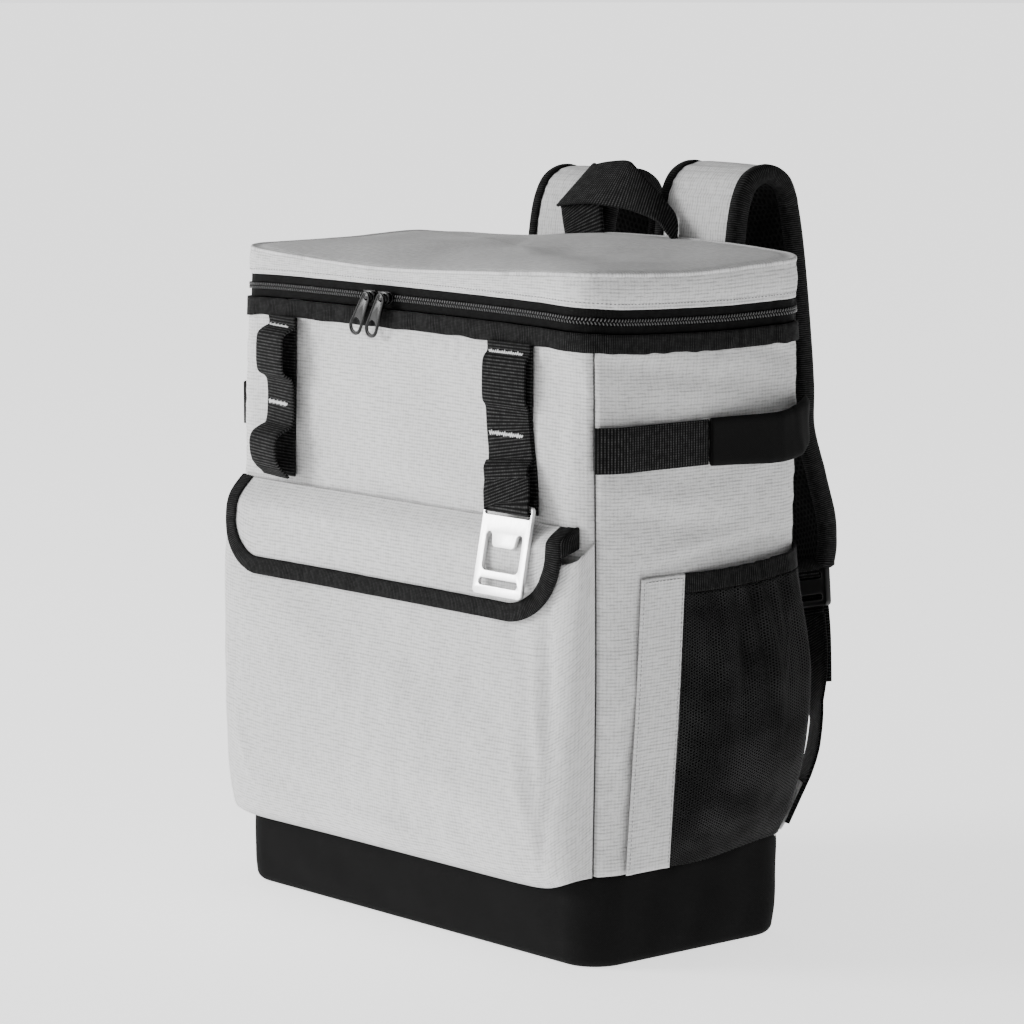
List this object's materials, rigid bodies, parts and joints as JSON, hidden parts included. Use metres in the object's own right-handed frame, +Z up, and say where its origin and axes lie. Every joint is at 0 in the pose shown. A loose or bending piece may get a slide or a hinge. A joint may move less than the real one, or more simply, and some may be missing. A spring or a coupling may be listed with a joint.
{
  "type": "cooler backpack",
  "caption": "Insulated box-shaped backpack with a zipped lid, flap pocket, webbing loops with a bottle opener, side handles, mesh side pockets, a grab loop and padded shoulder straps.",
  "frame": {"origin": "the middle of the base, on the surface that the bag stands on", "axes": "+Z up, -Y to the front where the pocket and the opener are, +Y to the wearer's back, +X to the wearer's right"},
  "size_m": [0.4166, 0.2972, 0.4822],
  "materials": {
    "canvas": "light grey melange polyester canvas, plain weave",
    "base_twill": "black twill, matt",
    "air_mesh": "black spacer mesh, matt",
    "grosgrain": "black ribbed grosgrain tape",
    "webbing": "black ribbed webbing",
    "pocket_mesh": "black open polyester mesh",
    "zip_tape": "black woven zip tape",
    "zip_coil": "black nylon coil",
    "zip_puller": "gloss black enamel",
    "buckle": "black moulded plastic, half gloss",
    "opener_plate": "satin silver plate"
  },
  "bodies": {
    "root": {"base_tub": "base_twill", "front_panel": "canvas", "side_panel_right": "canvas", "side_panel_left": "canvas", "back_panel": "air_mesh", "rim_binding": "grosgrain", "zip_tape_lower": "zip_tape", "zip_tape_upper": "zip_tape", "zip_coil": "zip_coil", "zip_slider_left": "zip_puller", "zip_slider_right": "zip_puller", "zip_pull_left": "zip_puller", "zip_pull_right": "zip_puller", "lid_wall": "canvas", "lid_top": "canvas", "front_pocket": "canvas", "pocket_flap": "canvas", "flap_binding": "grosgrain", "ladder_strap_left": "webbing", "ladder_strap_right": "webbing", "bottle_opener": "opener_plate", "side_webbing_right": "webbing", "side_webbing_left": "webbing", "side_grip_right": "base_twill", "side_grip_left": "base_twill", "mesh_pocket_right": "pocket_mesh", "mesh_pocket_left": "pocket_mesh", "mesh_hem_right": "grosgrain", "mesh_hem_left": "grosgrain", "pocket_strip_right": "canvas", "pocket_strip_left": "canvas", "grab_loop": "webbing", "strap_pad_right": "canvas", "strap_pad_left": "canvas", "strap_lining_right": "air_mesh", "strap_lining_left": "air_mesh", "strap_binding_right": "grosgrain", "strap_binding_left": "grosgrain", "strap_buckle_right": "buckle", "strap_buckle_left": "buckle", "strap_tab_right": "canvas", "strap_tab_left": "canvas", "strap_webbing_right": "webbing", "strap_webbing_left": "webbing", "strap_tail_right": "webbing", "strap_tail_left": "webbing"}
  },
  "joints": []
}
